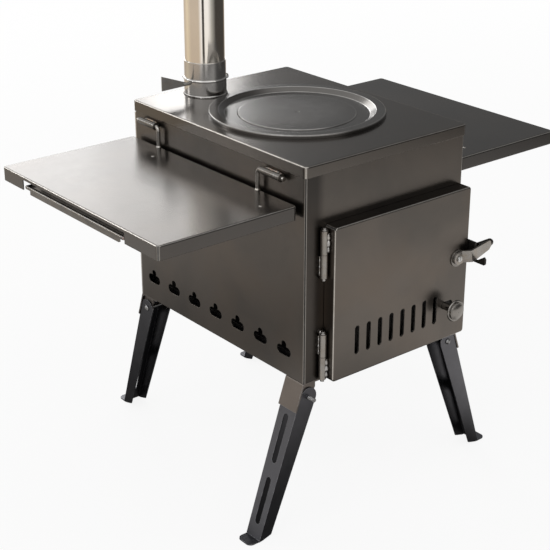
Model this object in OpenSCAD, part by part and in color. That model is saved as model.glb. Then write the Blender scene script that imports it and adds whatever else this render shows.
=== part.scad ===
// Tent wood stove: folded sheet firebox, hinged door, fold-up side shelves, folding legs
// millimetres; ground at z = 0, door faces -Y, up +Z, firebox centred on X and Y

/* [Firebox] */
// cover width, left to right
cover_w = 300; // [290:1:320]
// cover depth, front to back
cover_d = 400; // [396:1:430]
// ground to the underside of the firebox
under_h = 230; // [225:1:260]
// underside of the firebox to the top of the cover
box_h = 318; // [312:1:330]
// sheet thickness of the firebox, door and shelves
sheet = 1.5; // [1.2:0.1:2]
// depth of the cover skirt
skirt_h = 16.5; // [14:0.5:18]
// plan radius of the cover corners
corner_r = 6; // [5.5:0.5:9]
// rolled radius along folded top edges
roll_r = 2.4; // [1.6:0.1:2.6]

/* [Side air holes] */
// clover shaped holes in each side
clovers = 7; // [3:1:7]
// spacing of the clover holes
clover_pitch = 52.8; // [46:0.2:54]
// radius of the upper lobe of a clover
lobe_r = 5.4; // [4.5:0.1:6]
// height of the clover centres above the firebox underside
clover_up = 40; // [34:0.5:46]

/* [Door] */
// door width
door_w = 260; // [236:1:264]
// door height
door_h = 230; // [220:1:240]
// depth of the door pan
door_t = 20.5; // [20:0.5:24]
// right edge of the door inside the side of the firebox
door_inset = 2.3; // [2:0.1:5]
// vertical air slots
slots = 8; // [4:1:8]
// spacing of the air slots
slot_pitch = 21.8; // [18:0.1:22]
// width of one air slot
slot_w = 8.4; // [6:0.2:9]
// length of one air slot
slot_l = 43.7; // [34:0.1:46]

/* [Air knob] */
// radius of the knob cap
knob_r = 16.5; // [14:0.5:18]
// stand-off of the cap from the door
knob_out = 21; // [18:0.5:28]
// radius of the knob neck
neck_r = 5.5; // [4:0.1:6]

/* [Door hinges] */
// outer radius of a knuckle
knuckle_r = 5.5; // [5:0.1:5.6]
// length of one knuckle
knuckle_l = 34; // [26:0.5:36]
// radius of the hinge pins
pin_r = 2.9; // [2:0.1:3.4]

/* [Latch] */
// height of the latch pivot above the door bottom
latch_up = 125; // [110:1:130]
// thickness of the lever strap
strap_t = 3; // [2.4:0.1:3.4]
// width of the lever strap at the pivot
strap_w = 18.5; // [16:0.5:19]
// forward step of the lever strap
strap_step = 10; // [8:0.5:11]
// upward tilt of the lever at rest
lever_tilt = 10; // [8:0.5:12]
// radius of the round grip bar
bar_r = 5.5; // [4:0.1:5.6]

/* [Cooking lid] */
// radius of the cooking lid
lid_r = 129.5; // [124:0.5:130]
// radius of the sunk dish in the lid
dish_r = 106; // [98:0.5:106]
// radius of the embossed inner disc
emboss_r = 86; // [70:0.5:90]
// height of the lid ring above the cover
lid_up = 5.5; // [4:0.1:6]
// lid centre toward the front
lid_front = 4; // [0:0.5:6]

/* [Flue] */
// outer radius of the chimney pipe
pipe_r = 30; // [28:0.1:30.5]
// length of the chimney pipe section
pipe_l = 380; // [250:5:400]
// flue centre to the left of the stove centre
flue_left = 44; // [36:1:48]
// flue centre behind the stove centre
flue_back = 160; // [158:1:162]
// height of the welded spigot
spigot_h = 27; // [24:0.5:30]
// height of the sleeve above the spigot
sleeve_h = 25.5; // [20:0.5:30]

/* [Side shelves] */
// width of the left shelf
shelf_w_left = 222; // [180:1:230]
// width of the right shelf
shelf_w_right = 204; // [180:1:230]
// shelf size front to back
shelf_l = 384; // [360:1:390]
// depth of the shelf flanges
flange_h = 20; // [16:0.5:22]
// drop of the shelf top below the cover top
shelf_drop = 55; // [52:0.5:58]
// length of the hand notch in the outer flange
notch_l = 254; // [160:1:260]
// radius of the hinge rods and the handle rod
rod_r = 3; // [2.2:0.1:3.2]

/* [Legs] */
// splay of each leg from the vertical
splay = 19; // [16:0.5:20]
// drop of the leg pivots below the firebox
pivot_drop = 23.5; // [23:0.1:26]
// width of the leg channel at the pivot
leg_w = 36; // [32:0.5:37]
// width of the leg channel at the foot
foot_w = 30; // [22:0.5:31]
// depth of the leg flanges at the pivot
leg_deep = 29; // [28:0.5:29]
// sheet thickness of the legs
leg_t = 1.8; // [1.5:0.1:2]
// length of the foot pad
pad_l = 17; // [17:0.5:24]

/* [Hidden] */
$fn = 96;
eps = 0.01;
fit = 0.2;                 // seated sheet inside sheet
run = 0.3;                 // gap between parts that move past each other
bore = 0.05;               // radial play of a bore on its pin
seat = 0.02;               // radial play of a fixed shank
top_z = under_h + box_h;
body_w = cover_w - 2 * (sheet + fit);
body_d = cover_d - 2 * (sheet + fit);
body_h = box_h - sheet;
front_y = -body_d / 2;
side_x = body_w / 2;

steel = [0.29, 0.28, 0.28];
steel_dark = [0.20, 0.20, 0.21];
steel_leg = [0.25, 0.26, 0.29];
steel_bare = [0.55, 0.53, 0.51];
stainless = [0.80, 0.80, 0.78];
zinc = [0.66, 0.66, 0.64];

door_gap = 0.7;            // door edge to firebox front
door_back = front_y - door_gap;
door_face = door_back - door_t;
door_right = side_x - door_inset;
door_left = door_right - door_w;
door_x = (door_left + door_right) / 2;
door_z = under_h;
hinge_x = door_left - 6;
hinge_y = front_y - 6.2;
hinge_low = under_h + 3;
hinge_high = under_h + door_h - 2 * knuckle_l - 6;
hinge_gap = 0.5;

knob_x = door_right - 44;
slot_x0 = knob_x - 19.4 - (slots - 1) * slot_pitch;
slot_z0 = door_z + 31;
slot_zc = slot_z0 + slot_l / 2;
slide_travel = slot_pitch / 2;
slide_y = door_face + sheet + run;
slide_h = slot_l + 12;
knob_z = door_z + 55;

latch_x = door_right - 22.5;
latch_z = door_z + latch_up;
washer_t = 1.5;
lever_y = door_face - washer_t - run;
catch_t = 3;
strap_len = 57;
bar_from = side_x + catch_t - latch_x + 8.7;
bar_to = 67;
catch_ramp = 33;            // slope of the catch that the lever rides up, degrees

lid_y = -lid_front;
hole_r = dish_r + 4.5;
flue_x = -flue_left;
flue_y = flue_back;
wall_t = 1.2;
damper_up = 19.5;
damper_z = top_z + damper_up;
spindle_r = 2.5;

shelf_gap = 5.7;            // firebox side to the inner edge of a shelf
shelf_in = side_x + shelf_gap;
shelf_y = 4;
notch_y = shelf_y + 9;
grip_drop = 14.8;           // handle rod below the shelf top
shelf_z = top_z - shelf_drop;
pivot_out = 7.2;            // firebox side to the hinge axis of a shelf
pivot_x = side_x + pivot_out;
pivot_z = shelf_z + 30;
sleeve_r = 4.9;
sleeve_back = [132.5, 173];
sleeve_front = [-157, -112];
rod_back_y = 127;
rod_front_y = -106.5;

leg_pz = under_h - pivot_drop;
half_deep = leg_deep / 2;
leg_len = (leg_pz + half_deep * sin(splay)) / cos(splay);
heel_x = half_deep * cos(splay) + leg_len * sin(splay);
front_leg_in = 9.8;         // firebox side to the middle of a front leg
front_leg_x = side_x - front_leg_in;
front_leg_y = front_y + 1.3 + leg_w / 2;
rear_leg_in = 19.3;         // firebox side to the pivot of a rear leg
rear_leg_x = side_x - rear_leg_in;
rear_leg_y = body_d / 2 - 9.8;
ear_t = 2.5;
ear_y = leg_w / 2 - leg_t - run - ear_t;
stop_n = half_deep + fit;
bolt_r = 3;
catch_out = 32;            // reach of the catch plate in front of the door
// shift that puts the origin under the middle of the whole stove
mid_x = (shelf_w_left - shelf_w_right) / 2;
mid_y = -(rear_leg_y + heel_x + pad_l + door_face - catch_out) / 2;

// ---- shared shapes ----

module place() {
  translate([mid_x, mid_y, 0]) children();
}

// block with round vertical corners, centred on X and Y, base at z = 0
module slab(w, d, h, r) {
  translate([-w / 2, -d / 2 + r, 0]) cube([w, d - 2 * r, h]);
  translate([-w / 2 + r, -d / 2, 0]) cube([w - 2 * r, d, h]);
  for (x = [-1, 1])
    for (y = [-1, 1])
      translate([x * (w / 2 - r), y * (d / 2 - r), 0]) cylinder(r = r, h = h);
}

// section of a rolled edge, r wide and e high
module roll_profile(r, e) {
  square([r - e, e]);
  intersection() {
    translate([r - e, 0]) circle(r = e, $fn = 48);
    translate([r - e, 0]) square([e, e]);
  }
}

// the same block with its top edge rolled over
module soft_slab(w, d, h, r, e) {
  slab(w, d, h - e, r);
  translate([-w / 2 + r, -d / 2 + r, h - e]) cube([w - 2 * r, d - 2 * r, e]);
  for (i = [0 : 3]) {
    along = i % 2 == 0 ? w : d;
    across = i % 2 == 0 ? d : w;
    rotate([0, 0, 90 * i]) {
      translate([-along / 2 + r, across / 2 - r, h - e])
        rotate([90, 0, 90]) linear_extrude(along - 2 * r) roll_profile(r, e);
      translate([along / 2 - r, across / 2 - r, h - e])
        rotate_extrude(angle = 90) roll_profile(r, e);
    }
  }
}

// folded pan, open below, top face at z = 0
module pan(w, d, h, r, e) {
  difference() {
    translate([0, 0, -h]) soft_slab(w, d, h, r, e);
    translate([0, 0, -h - 1])
      slab(w - 2 * sheet, d - 2 * sheet, h - sheet + 1, r - sheet);
  }
}

// pin or tube along Y
module bar_y(r, y0, y1) {
  translate([0, y0, 0]) rotate([-90, 0, 0]) cylinder(r = r, h = y1 - y0);
}

// upright round-ended slot cut through Y
module slot_cut(w, l, y0, y1) {
  for (z = [w / 2, l - w / 2])
    translate([0, 0, z]) bar_y(w / 2, y0, y1);
  translate([-w / 2, y0, w / 2]) cube([w, y1 - y0, l - w]);
}

module air_slots(y0, y1, grow) {
  for (i = [0 : slots - 1])
    translate([slot_x0 + i * slot_pitch, 0, slot_z0 - grow])
      slot_cut(slot_w + 2 * grow, slot_l + 2 * grow, y0, y1);
}

// clover cut through X: a wide lower pair of lobes with one lobe on top
module clover() {
  wide_r = lobe_r * 1.3;
  apart = lobe_r * 1.5;
  rotate([0, 90, 0])
    translate([lobe_r * 0.75, 0])
      linear_extrude(cover_w, center = true) {
        translate([-lobe_r * 1.8, 0]) circle(r = lobe_r, $fn = 48);
        square([2 * wide_r, 2 * apart], center = true);
        for (s = [-1, 1])
          translate([0, s * apart]) circle(r = wide_r, $fn = 48);
      }
}

// ---- firebox ----

// one sheet folded into left side, front and right side
module body_wrap() {
  fold_r = corner_r - sheet;
  color(steel)
    translate([0, 0, under_h])
      difference() {
        union() {
          slab(body_w, body_d, body_h, fold_r);
          translate([-body_w / 2, 0, 0]) cube([body_w, body_d / 2, body_h]);
        }
        rear_reliefs();
        translate([0, 0, -1]) slab(body_w - 2 * sheet, body_d - 2 * sheet, body_h + 2, fold_r - sheet);
        translate([-body_w / 2 + sheet, 0, -1])
          cube([body_w - 2 * sheet, body_d, body_h + 2]);
        translate([door_x, front_y + 1, door_h / 2 + 2])
          rotate([90, 0, 0]) translate([0, 0, -4]) slab(door_w - 36, door_h - 40, 8, 8);
        for (i = [0 : clovers - 1])
          translate([0, 4 + (i - (clovers - 1) / 2) * clover_pitch, clover_up]) clover();
      }
}

// square reliefs at the rear top corners, under the round corners of the cover
module rear_reliefs() {
  relief = corner_r - sheet - 1.2;
  for (s = [-1, 1])
    translate([s * body_w / 2 - relief, body_d / 2 - relief, body_h - skirt_h - 1])
      cube([2 * relief, 2 * relief, skirt_h + 2]);
}

// rear panel with side flanges turned forward
module back_panel() {
  in_w = body_w - 2 * sheet;
  lip = 15;
  color(steel)
    translate([0, 0, under_h])
      difference() {
        translate([0, body_d / 2, 0]) {
          translate([-in_w / 2, -sheet, 0]) cube([in_w, sheet, body_h]);
          for (s = [-1, 1])
            translate([s * (in_w - sheet) / 2 - sheet / 2, -sheet - lip, flange_h])
              cube([sheet, lip, body_h - flange_h]);
        }
        rear_reliefs();
      }
}

// floor of the firebox with flanges turned up
module bottom_pan() {
  in_w = body_w - 2 * sheet;
  in_d = body_d - 2 * sheet;
  up = 18;
  bend = corner_r - 2 * sheet;
  color(steel_dark)
    translate([0, 0, under_h])
      difference() {
        slab(in_w, in_d, up, bend);
        translate([0, 0, sheet])
          slab(in_w - 2 * sheet, in_d - 2 * sheet, up, max(bend - sheet, 0.5));
      }
}

// top cover with rolled edges, lid hole and flue hole
module top_cover() {
  color(steel)
    translate([0, 0, top_z])
      difference() {
        pan(cover_w, cover_d, skirt_h, corner_r, roll_r);
        translate([0, lid_y, -sheet - 1]) cylinder(r = hole_r, h = sheet + 2);
        translate([flue_x, flue_y, -sheet - 1]) cylinder(r = pipe_r, h = sheet + 2);
      }
}

// slotted grate standing on its two turned-down sides, open to the front for ash
module fire_grate() {
  grate_w = 270;
  grate_d = 360;
  grate_h = 26;
  color(steel_dark)
    translate([0, 0, under_h + sheet + grate_h])
      difference() {
        translate([-grate_w / 2, -grate_d / 2, -grate_h]) cube([grate_w, grate_d, grate_h]);
        translate([-grate_w / 2 + sheet, -grate_d / 2 - 1, -grate_h - 1])
          cube([grate_w - 2 * sheet, grate_d + 2, grate_h - sheet + 1]);
        for (i = [-4 : 4])
          for (s = [-1, 1])
            translate([i * 28, s * 84, -sheet - 1]) slab(9, 130, sheet + 2, 4.4);
      }
}

// ---- flue ----

// welded spigot with a root bead, a top bead ring and an inner step for the pipe
module flue_spigot() {
  spigot_r = pipe_r + 2;
  color(steel)
    translate([flue_x, flue_y, top_z]) {
      difference() {
        union() {
          cylinder(r = spigot_r, h = spigot_h);
          cylinder(r1 = spigot_r + 1.6, r2 = spigot_r, h = 2.2);
          translate([0, 0, spigot_h - 2])
            rotate_extrude() translate([spigot_r - 0.3, 0]) circle(r = 1.8, $fn = 32);
        }
        translate([0, 0, -1]) cylinder(r = spigot_r - wall_t, h = spigot_h - wall_t + 1);
        translate([0, 0, -1]) cylinder(r = pipe_r - 1.2, h = spigot_h + 2);
        translate([0, 0, damper_up])
          rotate([0, 90, 0]) cylinder(r = spindle_r + bore, h = 90, center = true);
      }
      for (a = [20 : 60 : 320])
        rotate([0, 0, a])
          translate([spigot_r + 1.1, 0, spigot_h - 2]) sphere(r = 1.7, $fn = 24);
    }
}

// sleeve that takes the foot of the pipe
module flue_sleeve() {
  sleeve_in = pipe_r + run;
  color(steel)
    translate([flue_x, flue_y, top_z + spigot_h])
      difference() {
        cylinder(r = sleeve_in + wall_t, h = sleeve_h);
        translate([0, 0, -1]) cylinder(r = sleeve_in, h = sleeve_h + 2);
      }
}

// round damper plate with a folded socket on the spindle
module damper_plate() {
  plate_r = pipe_r - 2.6;
  color(steel_dark)
    translate([flue_x, flue_y, damper_z]) {
      difference() {
        union() {
          rotate([90, 0, 0]) cylinder(r = plate_r, h = 1.4, center = true);
          rotate([0, 90, 0]) cylinder(r = spindle_r + 1.3, h = plate_r * 1.6, center = true);
        }
        rotate([0, 90, 0]) cylinder(r = spindle_r + seat, h = 80, center = true);
      }
    }
}

// spindle with the flat flag handle on its left end
module damper_spindle() {
  wall = pipe_r + 2;
  flag = 48;
  color(steel)
    translate([flue_x, flue_y, damper_z]) {
      translate([-wall - 10, 0, 0]) rotate([0, 90, 0]) cylinder(r = spindle_r, h = 2 * wall + 18);
      rotate([90, 0, 0])
        linear_extrude(1.8, center = true)
          polygon([[-wall - 3, -2], [-wall - 3, 2.4], [-wall - flag, 19],
                   [-wall - flag, -3], [-wall - 12, -2.4]]);
      translate([wall + 8, 0, 0]) rotate([0, 90, 0]) cylinder(r = spindle_r + 1.2, h = 1.6);
    }
}

// open pipe section with a rolled bead near its top
module chimney_pipe() {
  pipe_t = 0.9;
  color(stainless)
    translate([flue_x, flue_y, top_z + spigot_h])
      difference() {
        union() {
          cylinder(r = pipe_r, h = pipe_l);
          translate([0, 0, pipe_l - 30])
            rotate_extrude() translate([pipe_r - 0.6, 0]) circle(r = 1.8, $fn = 32);
        }
        translate([0, 0, -1]) cylinder(r = pipe_r - pipe_t, h = pipe_l + 2);
      }
}

// pressed lid: rolled rim, raised ring, sloped wall, sunk dish, embossed disc, dimple
module cooking_lid() {
  lip = 2.2;
  slope = 9;
  ring_in = dish_r + slope;
  dish_z = -1;
  color(steel)
    translate([0, lid_y, top_z])
      rotate_extrude($fn = 128) {
        polygon([[lid_r - lip, lid_up - sheet], [lid_r - lip, lid_up],
          [ring_in, lid_up], [dish_r, dish_z], [emboss_r + 1.5, dish_z],
          [emboss_r, dish_z + 1.2], [3.5, dish_z + 1.2], [2, dish_z], [0, dish_z],
          [0, dish_z - sheet], [3, dish_z - sheet], [4.5, dish_z + 1.2 - sheet],
          [emboss_r - 1, dish_z + 1.2 - sheet], [emboss_r + 0.5, dish_z - sheet],
          [dish_r + 1, dish_z - sheet], [ring_in + 1, lid_up - sheet]]);
        translate([lid_r - sheet, 0]) square([sheet, lid_up - lip]);
        intersection() {
          translate([lid_r - lip, lid_up - lip]) difference() {
            circle(r = lip, $fn = 48);
            circle(r = lip - sheet, $fn = 48);
          }
          translate([lid_r - lip, lid_up - lip]) square([lip, lip]);
        }
      }
}

// ---- door ----

// pressed door pan with air slots and the slot for the knob neck
module door_pan() {
  color(steel)
    difference() {
      translate([door_x, door_face, door_z + door_h / 2])
        rotate([90, 0, 0]) pan(door_w, door_h, door_t, 5, roll_r);
      air_slots(door_face - 1, door_face + sheet + 1, 0);
      for (x = [0, slide_travel])
        translate([knob_x + x, 0, knob_z])
          bar_y(neck_r + run, door_face - 1, door_face + sheet + 1);
      translate([knob_x, door_face - 1, knob_z - neck_r - run])
        cube([slide_travel, sheet + 2, 2 * (neck_r + run)]);
      translate([latch_x, 0, latch_z]) bar_y(2.5 + seat, door_face - 1, door_face + sheet + 1);
    }
}

// inner liner with flanges turned forward and matching air slots
module door_liner() {
  liner_back = 2;
  liner_t = 12;
  color(steel_dark)
    difference() {
      translate([door_x, door_back - liner_back, door_z + door_h / 2])
        rotate([-90, 0, 0])
          pan(door_w - 2 * (sheet + fit), door_h - 2 * (sheet + fit), liner_t, 4, 1.6);
      air_slots(door_back - liner_back - sheet - 1, door_back, 1);
    }
}

// upper and lower rail that hold the air slider
module slider_guides() {
  rail = 3;
  lip = 3;
  x0 = slot_x0 - 26;
  len = knob_x + 32 - x0;
  color(steel_dark)
    for (s = [-1, 1])
      translate([x0, door_face + sheet, slot_zc])
        rotate([90, 0, 90])
          linear_extrude(len)
            polygon([[0, s * (slide_h / 2 + run)], [0, s * (slide_h / 2 + run + rail)],
              [2 * run + 2 * sheet, s * (slide_h / 2 + run + rail)],
              [2 * run + 2 * sheet, s * (slide_h / 2 - lip)],
              [2 * run + sheet, s * (slide_h / 2 - lip)],
              [2 * run + sheet, s * (slide_h / 2 + run)]]);
}

// slotted plate that opens and closes the air slots
module air_slider() {
  x0 = slot_x0 - 13;
  len = knob_x + 16 - x0;
  color(steel_dark)
    difference() {
      translate([x0, slide_y, slot_zc - slide_h / 2]) cube([len, sheet, slide_h]);
      air_slots(slide_y - 1, slide_y + sheet + 1, 0);
      translate([knob_x, 0, knob_z]) bar_y(2 + seat, slide_y - 1, slide_y + sheet + 1);
    }
}

// turned knob: neck, two ring steps and a low dome
module air_knob() {
  neck = slide_y - (door_face - knob_out);
  color(steel_bare)
    translate([knob_x, slide_y, knob_z])
      rotate([90, 0, 0])
        difference() {
          rotate_extrude()
            union() {
              square([neck_r, neck]);
              translate([0, neck]) square([knob_r - 1.4, 3.4]);
              translate([knob_r - 1.7, neck + 1.7]) circle(r = 1.7, $fn = 32);
              translate([0, neck + 3.4]) square([knob_r - 3.4, 2.6]);
              translate([knob_r - 3.4 - 1.1, neck + 4.9]) circle(r = 1.3, $fn = 32);
              intersection() {
                translate([0, neck + 6 - 32]) circle(r = 34.4, $fn = 180);
                translate([0, neck + 3]) square([knob_r - 5, 8]);
              }
            }
          translate([0, 0, -1]) cylinder(r = 2 + seat, h = 13, $fn = 32);
        }
}

// screw that holds the knob to the slider from behind
module knob_screw() {
  color(zinc)
    translate([knob_x, 0, knob_z]) {
      bar_y(2, slide_y - 9, slide_y + sheet);
      bar_y(3.6, slide_y + sheet, slide_y + sheet + 2.2);
    }
}

// knuckle tube from z0 up
module knuckle(z0, r_in) {
  translate([hinge_x, hinge_y, z0])
    difference() {
      cylinder(r = knuckle_r, h = knuckle_l, $fn = 48);
      translate([0, 0, -1]) cylinder(r = r_in, h = knuckle_l + 2, $fn = 48);
    }
}

// two knuckles welded to the firebox front
module body_knuckles() {
  color(steel_bare)
    for (z = [hinge_low + knuckle_l + hinge_gap, hinge_high]) {
      knuckle(z, pin_r + seat);
      for (s = [-1, 1])
        translate([hinge_x + s * 3.4, front_y - 1.3, z + 3])
          cylinder(r = 1.3, h = knuckle_l - 6, $fn = 24);
    }
}

// two knuckles welded to the door edge, with their weld runs
module door_knuckles() {
  color(steel_bare)
    for (z = [hinge_low, hinge_high + knuckle_l + hinge_gap]) {
      knuckle(z, pin_r + bore);
      for (s = [-1, 1])
        translate([door_left - 1.2, hinge_y + s * 3.6, z + 4])
          cylinder(r = 1.2, h = knuckle_l - 8, $fn = 24);
    }
}

// hinge pins with small heads
module hinge_pins() {
  color(zinc)
    for (z = [hinge_low, hinge_high])
      translate([hinge_x, hinge_y, z - 4]) {
        cylinder(r = pin_r, h = 2 * knuckle_l + hinge_gap + 8, $fn = 48);
        translate([0, 0, 2 * knuckle_l + hinge_gap + 4 + run])
          cylinder(r = pin_r + 1.3, h = 1.6, $fn = 48);
      }
}

// ---- latch ----

// large thin washer under the lever
module latch_washer() {
  color(steel_bare)
    translate([latch_x, 0, latch_z])
      difference() {
        bar_y(13, door_face - washer_t, door_face);
        bar_y(2.5 + seat, door_face - washer_t - 1, door_face + 1);
      }
}

// pan head screw that the lever turns on
module latch_screw() {
  head_y = lever_y - strap_t - run;
  color(zinc)
    translate([latch_x, 0, latch_z])
      difference() {
        union() {
          bar_y(2.5, head_y, door_face + sheet + 5);
          bar_y(4.4, head_y - 1.6, head_y);
          bar_y(3.4, head_y - 2.6, head_y - 1.6);
        }
        translate([-0.5, head_y - 3, -5]) cube([1, 1.4, 10]);
      }
}

// nut on the latch screw inside the door
module latch_nut() {
  color(zinc)
    translate([latch_x, door_face + sheet, latch_z])
      rotate([-90, 0, 0])
        difference() {
          cylinder(r = 5, h = 4, $fn = 6);
          translate([0, 0, -1]) cylinder(r = 2.5 + seat, h = 6);
        }
}

// stepped lever strap, narrowing to its tip
module latch_lever() {
  half = strap_w / 2;
  y0 = -strap_t;
  y1 = -strap_t - strap_step;
  color(steel_bare)
    translate([latch_x, lever_y, latch_z])
      rotate([0, -lever_tilt, 0])
        difference() {
          union() {
            bar_y(half, -strap_t, 0);
            intersection() {
              translate([0, 0, -half])
                linear_extrude(strap_w)
                  polygon([[0, 0], [0, y0], [7, y0], [16, y1], [strap_len, y1],
                           [strap_len, y1 + strap_t], [18, y1 + strap_t], [9, 0]]);
              rotate([90, 0, 0])
                linear_extrude(40, center = true)
                  polygon([[-1, -half], [22, -half], [strap_len - 5, -half + 4.5],
                           [strap_len, -half + 9], [strap_len, half - 2],
                           [strap_len - 3, half], [-1, half]]);
            }
          }
          bar_y(2.5 + bore, -strap_t - 1, 1);
        }
}

// round grip bar welded behind the strap tip
module latch_bar() {
  color(steel_dark)
    translate([latch_x, lever_y - strap_step + bar_r, latch_z + 11])
      rotate([0, 90, 0]) {
        translate([0, 0, bar_from]) cylinder(r = bar_r, h = bar_to - bar_from - bar_r, $fn = 48);
        translate([0, 0, bar_to - bar_r]) sphere(r = bar_r, $fn = 48);
      }
}

// catch plate on the right side of the firebox; its notch opens forward as a wedge
module catch_plate() {
  notch_a = lever_y - strap_step - strap_t - 0.8;
  notch_b = lever_y - strap_step + 0.8;
  tip_y = door_face - catch_out;
  low = latch_z - 9;
  floor_z = low + 3.6;
  tip_z = floor_z + (notch_a - tip_y - 3) * tan(catch_ramp);
  color(steel_dark)
    translate([side_x, 0, 0])
      rotate([90, 0, 90])
        linear_extrude(catch_t)
          polygon([[front_y + 22, low + 4], [front_y + 22, low + 26], [front_y + 18, low + 30],
                   [notch_b, low + 30], [notch_b, floor_z], [notch_a, floor_z],
                   [tip_y + 3, tip_z], [tip_y, tip_z - 3],
                   [tip_y, low + 2], [tip_y + 2, low], [front_y + 18, low]]);
}

// ---- shelves ----

module side(s) {
  if (s > 0) children();
  else mirror([1, 0, 0]) children();
}

// shelf pan, right-hand form: flanges down, hand notch in the outer flange
module shelf_pan(w) {
  strip = 5;
  color(steel)
    difference() {
      translate([shelf_in + w / 2, shelf_y, shelf_z]) pan(w, shelf_l, flange_h, 5, roll_r);
      translate([shelf_in + w - 4, notch_y - notch_l / 2, shelf_z - flange_h - 1])
        cube([8, notch_l, flange_h + 1 - strip]);
    }
}

// grip: rod with its ends turned in to a backing plate, and a lip strip below it
module shelf_handle(w) {
  half = notch_l / 2 - rod_r - 1;
  x = shelf_in + w - rod_r;
  back = 10;
  lip_h = 7;
  plate_drop = 6;
  color(steel_bare)
    translate([x, notch_y, shelf_z - grip_drop]) {
      bar_y(rod_r, -half + rod_r, half - rod_r);
      for (s = [-1, 1]) {
        translate([0, s * (half - rod_r), 0]) sphere(r = rod_r, $fn = 32);
        translate([-back, s * (half - rod_r), 0])
          rotate([0, 90, 0]) cylinder(r = rod_r, h = back, $fn = 48);
        translate([-back, s * (half - rod_r), 0])
          cylinder(r = rod_r, h = grip_drop - sheet, $fn = 48);
      }
      translate([-1.5, -half + 12, -rod_r / 2 - lip_h]) cube([3, 2 * half - 24, lip_h]);
      translate([-back, -half + rod_r, -plate_drop])
        cube([sheet, 2 * (half - rod_r), plate_drop + grip_drop - sheet]);
    }
}

// rod up from the shelf at the origin, bent over toward +Y and len long there
module hinge_rod(len) {
  rise = pivot_z - shelf_z;
  bend = 6;
  cylinder(r = rod_r, h = rise - bend, $fn = 48);
  cylinder(r1 = 4.2, r2 = rod_r, h = 2, $fn = 48);
  translate([0, bend, rise - bend])
    rotate([90, 0, -90])
      rotate_extrude(angle = 90) translate([bend, 0]) circle(r = rod_r, $fn = 48);
  translate([0, 0, rise]) bar_y(rod_r, bend, len);
}

// two hinge rods: straight in the sleeve, bent down to the shelf
module shelf_rods() {
  color(steel_bare) {
    translate([pivot_x, rod_back_y, shelf_z]) hinge_rod(sleeve_back[1] + 6 - rod_back_y);
    translate([pivot_x, rod_front_y, shelf_z])
      rotate([0, 0, 180]) hinge_rod(rod_front_y - sleeve_front[0] + 6);
  }
}

// two sleeves welded to the firebox side
module shelf_sleeves() {
  color(steel_bare)
    for (y = [sleeve_back, sleeve_front]) {
      difference() {
        union() {
          translate([pivot_x, 0, pivot_z]) {
            bar_y(sleeve_r, y[0], y[1]);
            bar_y(sleeve_r + 0.8, y[0], y[0] + 2);
          }
          translate([side_x, y[0] + 4, pivot_z - 3]) cube([4, y[1] - y[0] - 8, 6]);
        }
        translate([pivot_x, 0, pivot_z]) bar_y(rod_r + bore, y[0] - 1, y[1] + 1);
      }
      for (f = [0.25, 0.75])
        translate([pivot_x - 4.2, y[0] + f * (y[1] - y[0]), pivot_z + 3.6])
          sphere(r = 2.2, $fn = 24);
    }
}

// two flush rivets near the inner edge of a shelf
module shelf_rivets() {
  color(steel_bare)
    for (p = [[32, 97], [38, -159]])
      translate([shelf_in + p[0], p[1], shelf_z]) cylinder(r1 = 3, r2 = 1.8, h = 0.8, $fn = 32);
}

// stop pads under the inner edge of each shelf
module shelf_stops() {
  color(steel_dark)
    for (s = [-1, 1])
      for (f = [-1, 1])
        side(s) translate([side_x, f * (shelf_l / 2 - 42) - 9, shelf_z - 16])
          cube([shelf_in - side_x - fit, 18, 10]);
}

// ---- legs, drawn with the pivot at the origin, splaying toward +X ----

module leg() {
  n1 = half_deep;
  n0 = half_deep - leg_t;
  hw = leg_w / 2;
  fw = foot_w / 2;
  web_top = 1;
  tip_l = 18;
  pad_w = foot_w - 1;
  color(steel_leg) {
    difference() {
      rotate([0, -splay, 0])
        difference() {
          intersection() {
            rotate([90, 0, 0])
              linear_extrude(leg_w + 2, center = true) {
                polygon([[n1, 0], [n1, -leg_len], [n1 - 6, -leg_len + 3],
                         [-4.5, -leg_len + 12], [-n1, 0]]);
                circle(r = n1);
              }
            rotate([90, 0, 90])
              linear_extrude(2 * leg_deep, center = true)
                polygon([[-hw, n1 + 1], [hw, n1 + 1], [hw, 0], [fw, -leg_len],
                         [-fw, -leg_len], [-hw, 0]]);
          }
          translate([n0, 0, 0])
            rotate([90, 0, -90])
              linear_extrude(2 * leg_deep)
                polygon([[-hw + leg_t, n1 + 2], [hw - leg_t, n1 + 2], [hw - leg_t, 0],
                         [fw - leg_t, -leg_len - 1], [-fw + leg_t, -leg_len - 1],
                         [-hw + leg_t, 0]]);
          translate([n0 - 1, -hw + leg_t, web_top]) cube([4, leg_w - 2 * leg_t, leg_deep]);
          for (u = [[32, 107], [129, 201]])
            rotate([0, 0, 90])
              translate([0, 0, -u[1]]) slot_cut(10, u[1] - u[0], -n1 - 1, -n0 + 1);
          bar_y(bolt_r + bore, -leg_w, leg_w);
        }
      translate([heel_x - 60, -leg_w, -leg_pz - 10]) cube([90, 2 * leg_w, 10]);
    }
    translate([heel_x - 1.2, -pad_w / 2, -leg_pz]) cube([pad_l - tip_l + 11, pad_w, leg_t]);
    translate([heel_x + pad_l - tip_l / 2, 0, -leg_pz]) slab(tip_l, pad_w, leg_t, 8);
  }
}

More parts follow.
